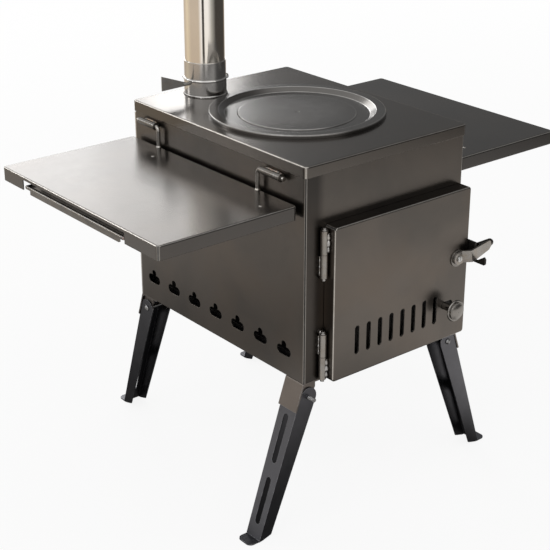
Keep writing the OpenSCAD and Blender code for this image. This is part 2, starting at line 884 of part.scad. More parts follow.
// pressed bracket: base, rounded fold, slanted stop plate and two ears
module leg_bracket() {
  base_z = pivot_drop - ear_t;
  fold_u = (stop_n * sin(splay) - base_z) / cos(splay);
  fold_x = stop_n * cos(splay) + fold_u * sin(splay);
  stop_w = leg_w + 2;
  stop_end = 24;
  color(steel_leg) {
    translate([-28, -stop_w / 2, base_z]) cube([28 + fold_x, stop_w, ear_t]);
    translate([fold_x, 0, base_z]) bar_y(ear_t, -stop_w / 2, stop_w / 2);
    rotate([0, -splay, 0])
      translate([stop_n, -stop_w / 2, -stop_end]) cube([ear_t, stop_w, stop_end - fold_u]);
    for (s = [-1, 1])
      difference() {
        translate([0, s * (ear_y + ear_t / 2), 0])
          rotate([90, 0, 0])
            linear_extrude(ear_t, center = true) {
              circle(r = 11);
              polygon([[-10.5, 0], [-10.5, 6], [-14, 12], [-14, base_z + eps],
                       [fold_x - 1, base_z + eps], [fold_x - 1, 14], [10.5, 6], [10.5, 0]]);
            }
        bar_y(bolt_r + seat, -leg_w, leg_w);
      }
  }
}

// bolt along Y with its head on the -Y side
module leg_bolt(tail) {
  hw = leg_w / 2 + run;
  bar_y(bolt_r, -hw, leg_w / 2 + tail);
  intersection() {
    translate([0, -hw + 3, 0]) sphere(r = 6, $fn = 48);
    bar_y(4.6, -hw - 4, -hw);
  }
}

module leg_nut(y) {
  translate([0, y, 0])
    rotate([-90, 0, 0])
      difference() {
        cylinder(r = 5.6, h = 4, $fn = 6);
        translate([0, 0, -1]) cylinder(r = bolt_r + seat, h = 6);
      }
}

// places a child at one leg pivot: 0 front left, 1 front right, 2 rear left, 3 rear right
module at_leg(i) {
  pos = [[-front_leg_x, front_leg_y], [front_leg_x, front_leg_y],
         [-rear_leg_x, rear_leg_y], [rear_leg_x, rear_leg_y]][i];
  turn = [180, 0, 90, 90][i];
  translate([pos[0], pos[1], leg_pz]) rotate([0, 0, turn]) children();
}

module leg_brackets() {
  for (i = [0 : 3]) at_leg(i) leg_bracket();
}

module leg_bolts() {
  color(zinc) {
    at_leg(0) leg_bolt(13);
    at_leg(1) leg_bolt(6);
    at_leg(2) rotate([0, 0, 180]) leg_bolt(6);
    at_leg(3) leg_bolt(6);
  }
}

module leg_nuts() {
  color(zinc) {
    at_leg(0) leg_nut(ear_y - 4);
    at_leg(1) leg_nut(leg_w / 2 + run);
    at_leg(2) rotate([0, 0, 180]) leg_nut(leg_w / 2 + run);
    at_leg(3) leg_nut(leg_w / 2 + run);
  }
}

place() body_wrap();
place() back_panel();
place() bottom_pan();
place() top_cover();
place() fire_grate();
place() body_knuckles();
place() hinge_pins();
place() catch_plate();
place() side(-1) shelf_sleeves();  // shelf_sleeves_left
place() shelf_sleeves();  // shelf_sleeves_right
place() shelf_stops();
place() leg_brackets();
place() leg_bolts();
place() leg_nuts();
place() flue_spigot();
place() flue_sleeve();
place() damper_plate();
place() damper_spindle();
place() chimney_pipe();
place() cooking_lid();
place() door_pan();
place() door_liner();
place() door_knuckles();
place() slider_guides();
place() air_slider();
place() air_knob();
place() knob_screw();
place() latch_washer();
place() latch_screw();
place() latch_nut();
place() latch_lever();
place() latch_bar();
place() side(-1) shelf_pan(shelf_w_left);  // shelf_left
place() shelf_pan(shelf_w_right);  // shelf_right
place() side(-1) shelf_rods();  // shelf_rods_left
place() shelf_rods();  // shelf_rods_right
place() side(-1) shelf_handle(shelf_w_left);  // shelf_handle_left
place() shelf_handle(shelf_w_right);  // shelf_handle_right
place() side(-1) shelf_rivets();  // shelf_rivets_left
place() shelf_rivets();  // shelf_rivets_right
place() at_leg(0) leg();  // leg_fl
place() at_leg(1) leg();  // leg_fr
place() at_leg(2) leg();  // leg_rl
place() at_leg(3) leg();  // leg_rr
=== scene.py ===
"""Tent wood stove: metal finishes, welds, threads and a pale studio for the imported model.

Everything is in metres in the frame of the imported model. spot() takes millimetres from
the middle of the firebox, the way the stove is drawn, and returns a point of that frame.
"""
import math

import bmesh
import bpy
from bpy.props import FloatProperty, FloatVectorProperty, PointerProperty
from mathutils import Matrix, Vector, noise


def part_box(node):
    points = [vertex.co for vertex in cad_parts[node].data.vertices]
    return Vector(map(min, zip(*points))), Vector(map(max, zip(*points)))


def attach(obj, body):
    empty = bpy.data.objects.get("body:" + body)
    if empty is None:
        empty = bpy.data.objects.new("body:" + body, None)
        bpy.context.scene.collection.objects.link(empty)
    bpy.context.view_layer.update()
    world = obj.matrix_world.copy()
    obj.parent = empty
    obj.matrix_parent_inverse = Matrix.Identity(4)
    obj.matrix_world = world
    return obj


bl_info = {
    "name": "Tent wood stove",
    "version": (1, 0, 0),
    "blender": (4, 5, 0),
    "location": "3D View > Sidebar > Stove",
    "description": "Finishes, welds and studio for a folding tent wood stove",
    "category": "Object",
}

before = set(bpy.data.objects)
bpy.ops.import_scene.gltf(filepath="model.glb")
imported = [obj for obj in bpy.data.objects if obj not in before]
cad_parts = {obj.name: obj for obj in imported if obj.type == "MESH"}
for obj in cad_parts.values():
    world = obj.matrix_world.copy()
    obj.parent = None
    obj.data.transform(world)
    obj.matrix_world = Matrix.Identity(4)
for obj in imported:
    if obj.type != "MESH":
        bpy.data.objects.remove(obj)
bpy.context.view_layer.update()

MM = 0.001


def middle(node):
    """The middle of a node's box."""
    low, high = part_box(node)
    return (Vector(low) + Vector(high)) / 2


cover_low, cover_high = (Vector(c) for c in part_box("top_cover"))
HOME = middle("top_cover")
COVER_TOP = cover_high.z
HALF_W = (cover_high.x - cover_low.x) / 2
HALF_D = (cover_high.y - cover_low.y) / 2
BODY_IN = 1.7 * MM          # from the cover's edge in to the firebox side
PIPE_RADIUS = 30 * MM
SLEEVE_LEVEL = 523 * MM     # middle of the sleeves that the shelves turn in


def spot(x, y, z):
    """A point given in millimetres from the middle of the firebox, on the ground."""
    return Vector((HOME.x + x * MM, HOME.y + y * MM, z * MM))


CAMERA_PLACE = spot(-1244.96, -1480.45, 1135.46)
CAMERA_ROLL = math.radians(0.0305)


# ---- shader nodes ----

class Wire:
    """An output socket. Arithmetic on it adds Math nodes to its tree."""

    def __init__(self, board, socket):
        self.board = board
        self.socket = socket

    def calc(self, operation, *values):
        return self.board.add("ShaderNodeMath", {"operation": operation}, dict(enumerate(values)))

    def __add__(self, other):
        return self.calc("ADD", self, other)

    def __radd__(self, other):
        return self.calc("ADD", other, self)

    def __sub__(self, other):
        return self.calc("SUBTRACT", self, other)

    def __rsub__(self, other):
        return self.calc("SUBTRACT", other, self)

    def __mul__(self, other):
        return self.calc("MULTIPLY", self, other)

    def __rmul__(self, other):
        return self.calc("MULTIPLY", other, self)

    def __truediv__(self, other):
        return self.calc("DIVIDE", self, other)

    def __abs__(self):
        return self.calc("ABSOLUTE", self)

    def root(self):
        return self.calc("POWER", self, 0.5)

    def least(self, other):
        return self.calc("MINIMUM", self, other)

    def most(self, other):
        return self.calc("MAXIMUM", self, other)

    def above(self, edge, soft):
        """0 below edge, 1 above edge + soft, smooth between."""
        return self.board.add("ShaderNodeMapRange", {"interpolation_type": "SMOOTHSTEP"},
                              {"Value": self, "From Min": edge, "From Max": edge + soft})


def span(dx, dy):
    """The length across two sides at a right angle."""
    return (dx * dx + dy * dy).root()


def toned(colour, *factors):
    """The colour times one factor, or times one for each channel."""
    return tuple(c * k for c, k in zip(colour, factors * (3 // len(factors))))


class Board:
    """A node tree being wired."""

    def __init__(self, tree):
        self.tree = tree
        tree.nodes.clear()

    def add(self, kind, settings=None, values=None, output=0):
        node = self.tree.nodes.new(kind)
        for key, value in (settings or {}).items():
            if key == "stops":
                self.set_stops(node.color_ramp, value)
            else:
                setattr(node, key, value)
        for key, value in (values or {}).items():
            if isinstance(value, Wire):
                self.tree.links.new(value.socket, node.inputs[key])
            else:
                node.inputs[key].default_value = value
        return Wire(self, node.outputs[output])

    @staticmethod
    def set_stops(ramp, stops):
        while len(ramp.elements) < len(stops):
            ramp.elements.new(1.0)
        for element, (place, colour) in zip(ramp.elements, stops):
            element.position = place
            element.color = (*colour, 1.0)

    def mix(self, factor, first, second):
        """Colour mix; a plain colour is a tuple of three."""
        first, second = (c if isinstance(c, Wire) else (*c, 1.0) for c in (first, second))
        return self.add("ShaderNodeMix", {"data_type": "RGBA"},
                        {0: factor, 6: first, 7: second}, output=2)

    def place(self):
        return self.add("ShaderNodeTexCoord", output="Object")

    def split(self, vector):
        """The three parts of a vector."""
        parts = self.add("ShaderNodeSeparateXYZ", values={0: vector}).socket.node.outputs
        return [Wire(self, part) for part in parts]

    def axes(self):
        """The three coordinates of the surface, from the middle of the firebox."""
        return self.split(self.add("ShaderNodeVectorMath", {"operation": "SUBTRACT"},
                                   {0: self.place(), 1: (HOME.x, HOME.y, 0.0)}))

    def cloud(self, scale, detail=3.0, rough=0.5, stretch=(1.0, 1.0, 1.0), lump=0.0):
        """Noise between about 0 and 1, in features per metre."""
        where = self.place()
        if stretch != (1.0, 1.0, 1.0):
            where = self.add("ShaderNodeVectorMath", {"operation": "MULTIPLY"},
                             {0: where, 1: stretch})
        return self.add("ShaderNodeTexNoise", values={
            "Vector": where, "Scale": scale, "Detail": detail,
            "Roughness": rough, "Distortion": lump})

    def edge_highlight_mask(self, radius):
        """1 on sharp edges and folds, where a highlight is painted, 0 on flat sheet."""
        eased = self.add("ShaderNodeBevel", {"samples": 6}, {"Radius": radius})
        flat = self.add("ShaderNodeNewGeometry", output="Normal")
        agree = self.add("ShaderNodeVectorMath", {"operation": "DOT_PRODUCT"},
                         {0: eased, 1: flat}, output="Value")
        return (1 - agree).above(0.004, 0.12)

    def fold_highlights(self, node, thin=2, roll=1.1 * MM, corner=2.4 * MM, edges=True):
        """1 along the folds round a pan's outer face and up its corners, where a highlight is
        painted, 0 elsewhere.

        thin is the axis of the pan's depth: 2 for a face that looks up, 1 for one that
        looks to the front. Without edges only the corners count."""
        low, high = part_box(node)
        where = self.split(self.place())
        gap = [(high[i] - low[i]) / 2 - abs(where[i] - (high[i] + low[i]) / 2) for i in range(3)]
        depth = high[2] - where[2] if thin == 2 else where[1] - low[1]
        a, b = (gap[i] for i in range(3) if i != thin)
        near = a.most(b) * (roll / corner)
        if edges:
            near = near.least(a.most(depth)).least(b.most(depth))
        return 1 - near.above(roll * 0.7, 0.9 * MM)

    def upward(self):
        """1 where the surface looks up, -1 where it looks down."""
        return self.split(self.add("ShaderNodeNewGeometry", output="Normal"))[2]


class Finish(Board):
    """A material with one Principled surface."""

    def __init__(self, name):
        self.material = bpy.data.materials.new(name)
        self.material.use_nodes = True
        super().__init__(self.material.node_tree)

    def surface(self, colour, roughness, metallic, bumps=(), ease=0.0, **fixed):
        """bumps are (height, strength, distance); ease rounds the edges' shading."""
        values = {"Base Color": colour, "Roughness": roughness, "Metallic": metallic}
        values.update({key.replace("_", " "): value for key, value in fixed.items()})
        normal = None
        if ease:
            normal = self.add("ShaderNodeBevel", {"samples": 4}, {"Radius": ease})
        for height, strength, distance in bumps:
            sockets = {"Height": height, "Strength": strength, "Distance": distance}
            if normal:
                sockets["Normal"] = normal
            normal = self.add("ShaderNodeBump", values=sockets)
        if normal:
            values["Normal"] = normal
        shader = self.add("ShaderNodeBsdfPrincipled", values=values)
        self.add_output(shader)
        return self.material

    def add_output(self, shader):
        out = self.tree.nodes.new("ShaderNodeOutputMaterial")
        self.tree.links.new(shader.socket, out.inputs["Surface"])


# ---- finishes ----

def soot_colour(board):
    """Black soot with grey ash in patches."""
    ash = board.cloud(90, 5, 0.65)
    return board.mix(ash.above(0.52, 0.2), (0.012, 0.011, 0.010), (0.055, 0.050, 0.046))


def coat(name, colour, shine, inside=None, fold_highlights=None, smooth=1.0, clouds=1.0, dim=None,
         rings=()):
    """Heat-proof coat on folded sheet.

    inside marks faces black with soot, and the shade painted soot-black under the shelves; dim
    marks painted shade; the given folds and rings get painted highlights, and the lid a lighter
    disc in its middle."""
    f = Finish(name)
    dark = toned(colour, 1 - 0.13 * clouds)
    light = toned(colour, *(1 + k * clouds for k in (0.15, 0.11, 0.08)))
    drift = f.cloud(5.5, 4, 0.55, lump=0.6)
    fine = f.cloud(60, 4, 0.6)
    grain = f.cloud(1400, 2, 0.5)
    base = f.mix(drift.above(0.3, 0.4), dark, light)
    warm = f.mix(f.cloud(11, 3, 0.5).above(0.45, 0.3) * (0.3 * clouds), base,
                 toned(colour, 1.22, 1.06, 0.92))
    painted = f.mix(grain.above(0.62, 0.2) * 0.16, warm, toned(colour, 1.6))
    rough = shine + (drift - 0.5) * 0.07 + (fine - 0.5) * 0.06
    # painted shade: dim darkens the faces it marks almost to black
    if dim:
        painted = f.mix(dim(f), painted, (0.010, 0.010, 0.011))
    # painted highlight along the folds and corners, in a pale paint colour
    if fold_highlights:
        painted_fold_highlight = f.fold_highlights(*fold_highlights)
        painted = f.mix(painted_fold_highlight * (fine * 0.7 + 0.40), painted, (0.62, 0.59, 0.55))
        rough = rough - painted_fold_highlight * 0.04
    # painted highlights round the lid's folds, and a lighter disc in its middle
    for mark, strength in rings:
        painted = f.mix(mark(f) * (fine * 0.8 + 0.1) * strength, painted, (0.42, 0.41, 0.395))
    # soot inside the firebox; under the shelves the same soot-black is painted shade
    if inside is not None:
        soot_and_shade = inside(f)
        painted = f.mix(soot_and_shade, painted, soot_colour(f))
        rough = rough * (1 - soot_and_shade) + soot_and_shade * 0.82
    return f.surface(painted, rough, 1.0 if inside is None else 1 - soot_and_shade,
                     bumps=[(fine, 0.03 * smooth, 0.0006), (grain, 0.05 * smooth, 0.0001)],
                     ease=0.9 * MM)


def within(half_w, half_d):
    """A mask for the inner faces of upright sheet."""
    inset, soft = 0.9 * MM, 0.4 * MM

    def mask(board):
        x, y, _ = board.axes()
        return (1 - abs(x).above(half_w - inset, soft)) * \
               (1 - abs(y).above(half_d - inset, soft))
    return mask


def clear_of(value, low, high, wall):
    """1 between two faces, less a wall at each, and 0 beyond."""
    return 1 - abs(value - (low + high) / 2).above((high - low) / 2 - wall, 0.2 * MM)


def below(height):
    """A mask for the underside of sheet whose top is at height."""
    def mask(board):
        _, _, z = board.axes()
        facing = board.upward()
        return (1 - z.above(height - 0.9 * MM, 0.4 * MM)) * (1 - facing.above(-0.7, 0.3))
    return mask


def node_span(node):
    """A node's lowest and highest corner, from the middle of the firebox."""
    low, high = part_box(node)
    return [Vector((c[0] - HOME.x, c[1] - HOME.y, c[2])) for c in (low, high)]


def behind(node):
    """A mask for what lies inside the folded edge of the door pan."""
    low, high = node_span(node)
    wall = 0.8 * MM

    def mask(board):
        x, y, z = board.axes()
        return y.above(low.y + 0.6 * MM, 0.3 * MM) * \
            clear_of(x, low.x, high.x, wall) * clear_of(z, low.z, high.z, wall)
    return mask


def painted_shade_under_shelf(node):
    """A mask for the underside of a shelf and the inner faces of its flanges, where shade is
    painted soot-black.
    """
    low, high = node_span(node)
    wall = 0.8 * MM

    def mask(board):
        x, y, z = board.axes()
        return (1 - z.above(high.z - wall, 0.2 * MM)) * \
            clear_of(x, low.x, high.x, wall) * clear_of(y, low.y, high.y, wall) * 0.8
    return mask


def painted_shade_shelf_front(node):
    """A mask for the front flange of a shelf, darkened as painted shade."""
    low, high = node_span(node)

    def mask(board):
        _, y, z = board.axes()
        return (1 - y.above(low.y + 1.6 * MM, 0.8 * MM)) * \
            (1 - z.above(high.z - 2 * MM, 1.2 * MM)) * 0.36
    return mask


def painted_shade_beside_door(edge):
    """A mask for the front of the firebox left of the door, painted shade that darkens it almost
    to black.
    """
    def mask(board):
        x, y, _ = board.axes()
        return (1 - x.above(edge, 18 * MM)) * (1 - y.above(-HALF_D + 2.4 * MM, 0.8 * MM)) * 0.56
    return mask


def ring_mark(node, radius, half=0.8 * MM):
    """A mask for a circle round the middle of a round node, or for a disc of radius 0."""
    centre = middle(node) - HOME

    def mask(board):
        x, y, _ = board.axes()
        dx, dy = x - centre.x, y - centre.y
        away = abs(span(dx, dy) - radius)
        return 1 - away.above(half * 0.5, half)
    return mask


def leg_finish(name, colour):
    """Plain mill steel with a dark scale, and a painted highlight along its edges in a bare steel
    colour.
    """
    f = Finish(name)
    drift = f.cloud(9, 4, 0.6, lump=0.4)
    fine = f.cloud(120, 4, 0.6)
    grain = f.cloud(1600, 2, 0.5)
    # painted highlight along the edges and folds
    edge_highlight = f.edge_highlight_mask(1.0 * MM) * fine.above(0.3, 0.3)
    base = f.mix(drift.above(0.32, 0.36), toned(colour, 0.86), toned(colour, 1.14))
    base = f.mix(edge_highlight * 0.55, base, (0.50, 0.50, 0.53))
    return f.surface(base, 0.36 + (fine - 0.5) * 0.14 + (drift - 0.5) * 0.08, 1.0,
                     bumps=[(fine, 0.05, 0.0005), (grain, 0.05, 0.0001)], ease=0.7 * MM)


def turned_finish(name, colour, shine, centre):
    """Lathe-turned steel with fine rings round an axis along Y."""
    f = Finish(name)
    x, _, z = f.axes()
    dx, dz = x - (centre.x - HOME.x), z - centre.z
    rings = f.add("ShaderNodeTexNoise", {"noise_dimensions": "1D"},
                  {"W": span(dx, dz) * 2600, "Scale": 1.0, "Detail": 2.0})
    marks = f.cloud(90, 3, 0.6)
    base = f.mix(rings.above(0.35, 0.3), toned(colour, 0.86), colour)
    base = f.mix(marks.above(0.5, 0.3) * 0.3, base, toned(colour, 0.75))
    return f.surface(base, shine + (rings - 0.5) * 0.08 + (marks - 0.5) * 0.06, 1.0,
                     bumps=[(rings, 0.04, 0.0001)], ease=0.25 * MM)


def bare_finish(name, colour, shine, tint, metal=1.0):
    """Bare steel with a faint grain and a brown and blue tint where it was welded."""
    f = Finish(name)
    drift = f.cloud(45, 4, 0.6, lump=0.8)
    fine = f.cloud(700, 3, 0.6)
    base = f.mix(drift.above(0.3, 0.4), toned(colour, 0.78), colour)
    heat = f.add("ShaderNodeValToRGB", {"stops": [
        (0.0, colour), (0.45, toned(colour, 0.95, 0.80, 0.60)),
        (0.7, toned(colour, 0.60, 0.48, 0.48)), (1.0, toned(colour, 0.55, 0.58, 0.7))]},
        {0: f.cloud(70, 3, 0.5).above(0.42, 0.3)})
    base = f.mix(tint, base, heat)
    return f.surface(base, shine + (drift - 0.5) * 0.14, metal,
                     bumps=[(fine, 0.04, 0.0002)], ease=0.4 * MM)


def pipe_finish(name, colour):
    """Rolled stainless tube: bright, faintly drawn lengthwise, with light handling marks."""
    f = Finish(name)
    drawn = f.cloud(420, 3, 0.55, stretch=(1.0, 1.0, 0.02))
    marks = f.cloud(24, 4, 0.6, lump=0.7)
    x, y, z = f.axes()
    centre = middle("chimney_pipe") - HOME
    dx, dy = x - centre.x, y - centre.y
    inner = 1 - (dx * dx + dy * dy).above((PIPE_RADIUS - 0.6 * MM) ** 2, 1e-5)
    straw = (1 - (z - COVER_TOP).above(0.04, 0.12)) * (marks * 0.4)
    base = f.mix(marks.above(0.35, 0.35), toned(colour, 0.94), colour)
    base = f.mix(straw, base, (0.62, 0.50, 0.34))
    base = f.mix(inner, base, soot_colour(f))
    rough = 0.085 + (drawn - 0.5) * 0.06 + (marks - 0.5) * 0.04
    return f.surface(base, rough * (1 - inner) + inner * 0.7, 1 - inner * 0.9,
                     bumps=[(drawn, 0.025, 0.0002)], ease=0.5 * MM)


def zinc_finish(name, colour=(0.60, 0.60, 0.59)):
    """Zinc plate, patchy and bright."""
    f = Finish(name)
    patch = f.cloud(240, 3, 0.6, lump=0.5)
    base = f.mix(patch.above(0.35, 0.3), toned(colour, 0.8), colour)
    return f.surface(base, 0.22 + patch * 0.12, 1.0, ease=0.3 * MM)


def dark_finish(name, colour, shine=0.55):
    """Dull dark steel with ash dust on what faces up."""
    f = Finish(name)
    drift = f.cloud(30, 4, 0.6)
    fine = f.cloud(380, 4, 0.6)
    dust = f.upward().above(0.5, 0.4) * f.cloud(55, 4, 0.6).above(0.45, 0.25) * 0.35
    # painted highlight along the edges and folds
    edge_highlight = f.edge_highlight_mask(0.9 * MM) * fine.above(0.4, 0.2)
    base = f.mix(drift.above(0.3, 0.4), toned(colour, 0.7), colour)
    base = f.mix(dust, base, (0.16, 0.15, 0.14))
    base = f.mix(edge_highlight * 0.5, base, (0.30, 0.28, 0.26))
    return f.surface(base, shine + (fine - 0.5) * 0.25, 0.85,
                     bumps=[(fine, 0.15, 0.0004)], ease=0.5 * MM)


def weld_finish(name, colour=(0.26, 0.24, 0.22)):
    """Weld metal: grey, with straw, purple and blue bands from the heat."""
    f = Finish(name)
    band = f.cloud(160, 3, 0.6, lump=1.2)
    fine = f.cloud(1200, 3, 0.6)
    base = f.add("ShaderNodeValToRGB", {"stops": [
        (0.25, colour), (0.45, toned(colour, 1.2, 1.0, 0.8)),
        (0.6, toned(colour, 0.8, 0.68, 0.74)), (0.75, toned(colour, 0.7, 0.8, 1.0))]},
        {0: band})
    return f.surface(base, 0.24 + (band - 0.5) * 0.2, 1.0, bumps=[(fine, 0.08, 0.0002)])


# ---- meshes ----

def new_piece(name, bm, body, material):
    """Makes a smooth-shaded piece of the mesh, and sets its body and slot."""
    mesh = bpy.data.meshes.new(name)
    bmesh.ops.recalc_face_normals(bm, faces=bm.faces)
    for face in bm.faces:
        face.smooth = True
    bm.to_mesh(mesh)
    bm.free()
    piece = bpy.data.objects.new(name, mesh)
    bpy.context.scene.collection.objects.link(piece)
    mesh.materials.append(material)
    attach(piece, body)


def resample(path, step, closed):
    """The path's points at an even step."""
    points = [Vector(p) for p in path]
    if closed:
        points.append(points[0])
    out = []
    for a, b in zip(points, points[1:]):
        count = max(1, round((b - a).length / step))
        out += [a.lerp(b, i / count) for i in range(count)]
    if not closed:
        out.append(points[-1])
    return out


def sweep(bm, path, radii, sides=10, closed=False):
    """A tube through the points, with one radius for each."""
    rings = []
    count = len(path)
    for i, point in enumerate(path):
        ahead = path[(i + 1) % count] if closed or i < count - 1 else point
        back = path[i - 1] if closed or i > 0 else point
        along = (ahead - back).normalized()
        side = along.orthogonal() if not rings else (side - along * side.dot(along))
        side.normalize()
        up = along.cross(side)
        rings.append([bm.verts.new(point + (side * math.cos(a) + up * math.sin(a)) * radii[i])
                      for a in (math.tau * k / sides for k in range(sides))])
    pairs = list(zip(rings, rings[1:])) + ([(rings[-1], rings[0])] if closed else [])
    for first, second in pairs:
        shift = 0
        if closed and second is rings[0]:
            shift = min(range(sides), key=lambda k: (second[k].co - first[0].co).length)
        for k in range(sides):
            bm.faces.new([first[k], first[(k + 1) % sides],
                          second[(k + 1 + shift) % sides], second[(k + shift) % sides]])
    if not closed:
        for ring in (rings[0], rings[-1]):
            bm.faces.new(ring)


def weld_bead(bm, path, radius, pitch, ripple, closed=False):
    """A hand-laid bead: even ripples with a little wander in width."""
    points = resample(path, pitch / 6, closed)
    radii = []
    travelled = 0.0
    for i, point in enumerate(points):
        travelled += (point - points[i - 1]).length if i else 0.0
        wave = abs(math.sin(math.pi * travelled / pitch))
        wander = noise.noise(point * 140)
        fade = 1.0
        if not closed:
            fade = min(1.0, 0.35 + 4 * min(i, len(points) - 1 - i) / len(points))
        radii.append(radius * fade * (1 + ripple * (wave - 0.5) + 0.3 * wander))
    sweep(bm, points, radii, 10, closed)


def weld_blob(bm, centre, radius, squash=(1.0, 1.0, 1.0)):
    """A lumpy drop of weld."""
    made = bmesh.ops.create_icosphere(bm, subdivisions=3, radius=radius)
    for vert in made["verts"]:
        lump = 1 + 0.16 * noise.noise(vert.co * 260 + Vector(centre) * 90)
        vert.co = Vector([c * s * lump for c, s in zip(vert.co, squash)]) + Vector(centre)


def circle_path(centre, radius, count=72):
    """A level circle."""
    return [centre + Vector((math.cos(a), math.sin(a), 0)) * radius
            for a in (math.tau * i / count for i in range(count))]


def helix_path(start, radius, pitch, turns, per_turn=20):
    """A helix round an axis along +Y from start."""
    return [start + Vector((math.cos(a) * radius, pitch * a / math.tau, math.sin(a) * radius))
            for a in (math.tau * i / per_turn for i in range(int(turns * per_turn) + 1))]


def paint(material, *nodes):
    """Gives CAD nodes a finish."""
    for node in nodes:
        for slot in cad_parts[node].material_slots:
            slot.material = material


def need(*nodes):
    """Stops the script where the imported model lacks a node."""
    missing = [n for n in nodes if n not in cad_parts]
    if missing:
        raise RuntimeError("the packed model has no " + ", ".join(missing))


# ---- settings ----

class StoveFinishes(bpy.types.PropertyGroup):
    coat: FloatVectorProperty(
        name="Coat", description="Heat-proof coat on the firebox, door and lid",
        subtype="COLOR", default=(0.120, 0.110, 0.100), min=0, max=1)
    shelf: FloatVectorProperty(
        name="Shelves", description="Satin coat on the side shelves",
        subtype="COLOR", default=(0.128, 0.122, 0.116), min=0, max=1)
    leg: FloatVectorProperty(
        name="Legs", description="Dark mill steel of the legs",
        subtype="COLOR", default=(0.105, 0.105, 0.114), min=0, max=1)
    bare: FloatVectorProperty(
        name="Bare steel", description="Rods, sleeves, hinges and lever",
        subtype="COLOR", default=(0.40, 0.38, 0.355), min=0, max=1)
    pipe: FloatVectorProperty(
        name="Pipe", description="Stainless chimney pipe",
        subtype="COLOR", default=(0.92, 0.89, 0.84), min=0, max=1)
    shine: FloatProperty(
        name="Coat roughness", description="Roughness of the coat",
        subtype="FACTOR", default=0.30, min=0.05, max=1)


class StoveWelds(bpy.types.PropertyGroup):
    radius: FloatProperty(
        name="Bead", description="Radius of a weld bead",
        subtype="DISTANCE", unit="LENGTH", default=1.9 * MM, min=0.5 * MM, max=4 * MM)
    pitch: FloatProperty(
        name="Ripple pitch", description="Spacing of the ripples in a bead",
        subtype="DISTANCE", unit="LENGTH", default=4.2 * MM, min=0.5 * MM, max=6 * MM)
    ripple: FloatProperty(
        name="Ripple", description="Depth of the ripples", subtype="FACTOR",
        default=0.42, min=0, max=0.8)


class StoveStudio(bpy.types.PropertyGroup):
    azimuth: FloatProperty(
        name="Camera azimuth", description="Direction of the camera's view round the stove",
        subtype="ANGLE", unit="ROTATION", default=math.radians(-39.186))
    elevation: FloatProperty(
        name="Camera elevation", description="Height of the camera above the horizon",
        subtype="ANGLE", unit="ROTATION", default=math.radians(23.678))
    lens: FloatProperty(
        name="Lens", description="Focal length in millimetres on a 36 mm wide sensor",
        default=90.22, min=20, max=300)
    floor: FloatVectorProperty(
        name="Floor", description="Colour of the floor", subtype="COLOR",
        default=(0.90, 0.90, 0.895), min=0, max=1)
    key: FloatProperty(
        name="Key light", description="Power of the wider of the two lights behind the stove",
        unit="POWER", default=16.0, min=0, max=500)


# ---- operators ----

class STOVE_OT_firebox(bpy.types.Operator):
    """Coats the folded firebox and cover, and soots the inside"""
    bl_idname = "stove.firebox"
    bl_label = "Firebox"

    def execute(self, context):
        need("body_wrap", "back_panel", "top_cover", "bottom_pan", "fire_grate")
        s = context.scene.stove_finishes
        inner = within(HALF_W - BODY_IN, HALF_D - BODY_IN)
        # painted highlight up the firebox corners, and painted shade on its front beside the door
        paint(coat("firebox_coat", s.coat, s.shine, inner,
                   ("body_wrap", 2, 1.1 * MM, 2.2 * MM, False),
                   dim=painted_shade_beside_door(-130 * MM)), "body_wrap", "back_panel")
        cover = toned(s.coat, 0.95)
        paint(coat("cover_coat", cover, s.shine - 0.11, below(COVER_TOP - 0.2 * MM),
                   ("top_cover",), clouds=0.5), "top_cover")
        paint(dark_finish("ash_pan", (0.050, 0.047, 0.045), 0.62), "bottom_pan", "fire_grate")
        paint(dark_finish("dark_plate", (0.060, 0.055, 0.050), 0.42), "catch_plate",
              "shelf_stops")
        return {"FINISHED"}


class STOVE_OT_lid(bpy.types.Operator):
    """Coats the pressed cooking lid"""
    bl_idname = "stove.lid"
    bl_label = "Cooking lid"

    def execute(self, context):
        need("cooking_lid")
        s = context.scene.stove_finishes
        # painted reflection: the lid's coat is a lighter, cooler copy of the firebox coat
        pressed = toned(s.coat, 1.12, 1.18, 1.24)
        low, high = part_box("cooking_lid")
        radius = (high[0] - low[0]) / 2
        # painted highlights along the lid's pressed folds
        folds = [radius - inset * MM for inset in (1.4, 14.5, 23.5, 43.5)]
        rings = [(ring_mark("cooking_lid", fold), 1.3) for fold in folds]
        # a lighter disc in the middle of the lid
        disc = (ring_mark("cooking_lid", 0, 64 * MM), 0.55)
        paint(coat("lid_coat", pressed, s.shine - 0.08, below(COVER_TOP - 0.8 * MM),
                   smooth=0.4, clouds=0.5, rings=rings + [disc]), "cooking_lid")
        return {"FINISHED"}


